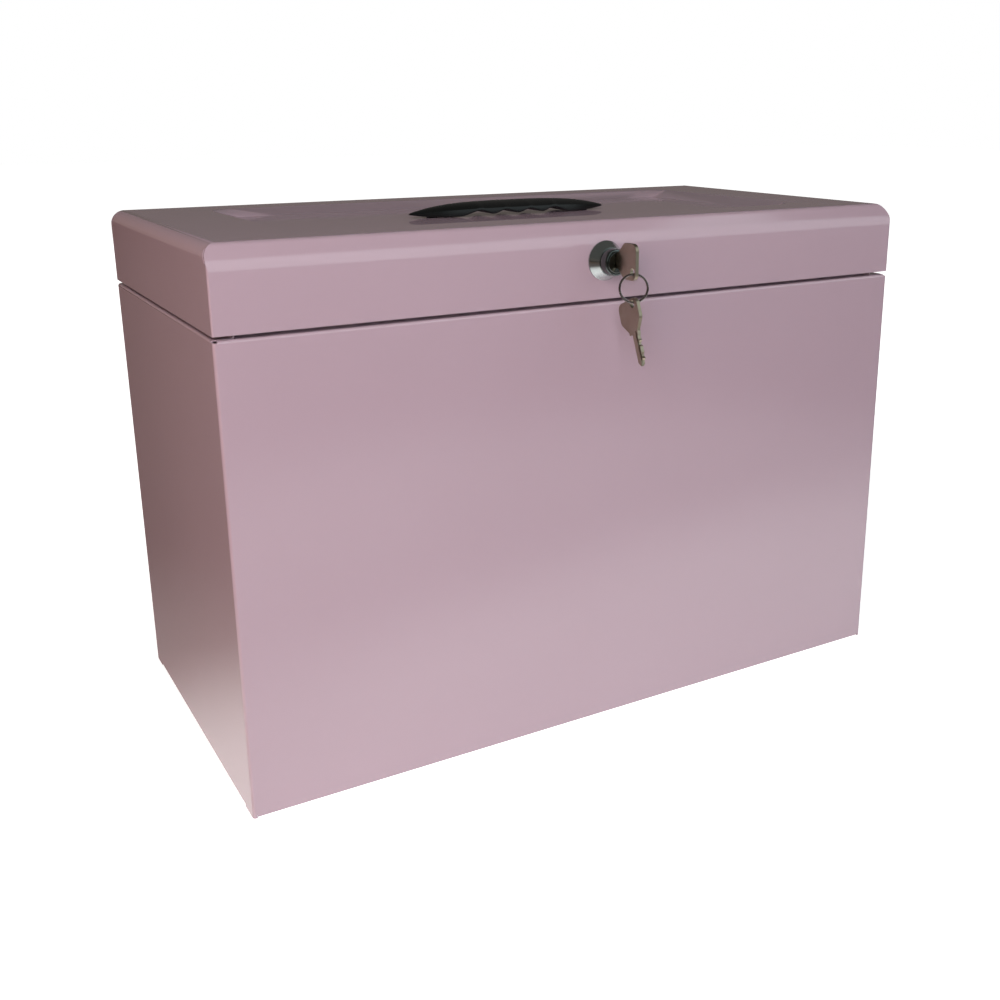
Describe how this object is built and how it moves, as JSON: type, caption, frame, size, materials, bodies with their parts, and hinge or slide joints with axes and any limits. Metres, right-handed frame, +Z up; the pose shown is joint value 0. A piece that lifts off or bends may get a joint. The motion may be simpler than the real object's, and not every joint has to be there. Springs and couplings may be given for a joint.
{
  "type": "file box",
  "caption": "Lockable sheet-steel box for hanging files, with a hinged lid, a lifting carrying handle, a cam lock and keys.",
  "frame": {"origin": "centre of the underside, on the floor", "axes": "+Z up, +X to the right as seen from the front, -Y out of the front with the lock"},
  "size_m": [0.41, 0.2467, 0.2872],
  "materials": {
    "painted_steel": "pale pink gloss powder coat with a faint orange peel",
    "zinc_steel": "bright zinc plate",
    "chrome_plate": "polished chrome plate",
    "lock_brass": "nickel-plated brass, darkened",
    "key_nickel": "worn nickel over brass",
    "ring_steel": "polished spring steel",
    "black_plastic": "moulded, satin sheen"
  },
  "bodies": {
    "case": {"body_wrap": "painted_steel", "back_panel": "painted_steel", "bottom_panel": "painted_steel", "lock_keeper": "painted_steel", "hinge_leaf_body": "painted_steel", "hinge_rivets_body": "painted_steel", "hinge_pin": "zinc_steel"},
    "lid": {"lid_shell": "painted_steel", "hinge_leaf_lid": "painted_steel", "hinge_rivets_lid": "painted_steel", "lock_barrel": "chrome_plate", "lock_nut": "zinc_steel"},
    "handle": {"handle_grip": "black_plastic", "handle_stop_washers": "zinc_steel", "handle_stop_screws": "zinc_steel"},
    "lock_core": {"lock_plug": "lock_brass", "lock_wafers": "lock_brass", "lock_cam": "zinc_steel", "cam_washer": "zinc_steel", "cam_screw": "zinc_steel"},
    "key": {"lock_key": "key_nickel"},
    "ring": {"key_ring": "ring_steel"},
    "spare": {"spare_key": "key_nickel"}
  },
  "joints": [
    {"name": "lid_hinge", "type": "hinge", "parent": "case", "child": "lid", "pos_m": [0, 0.1032, 0.2408], "axis": [-1, 0, 0], "range_deg": [0, 110]},
    {"name": "handle_lift", "type": "slide", "parent": "lid", "child": "handle", "axis": [0, 0, 1], "range_m": [0, 0.018]},
    {"name": "lock_turn", "type": "hinge", "parent": "lid", "child": "lock_core", "pos_m": [0, -0.088, 0.2628], "axis": [0, 1, 0], "range_deg": [0, 90]},
    {"name": "key_slide", "type": "slide", "parent": "lock_core", "child": "key", "axis": [0, -1, 0], "range_m": [0, 0.021]},
    {"name": "ring_swing", "type": "hinge", "parent": "key", "child": "ring", "pos_m": [0, -0.1306, 0.2587], "axis": [0.866, -0.5, 0], "range_deg": [-80, 5]},
    {"name": "spare_key_swing", "type": "hinge", "parent": "ring", "child": "spare", "pos_m": [0, -0.1306, 0.2445], "axis": [0.9994, -0.0349, 0], "range_deg": [-15, 30]}
  ]
}
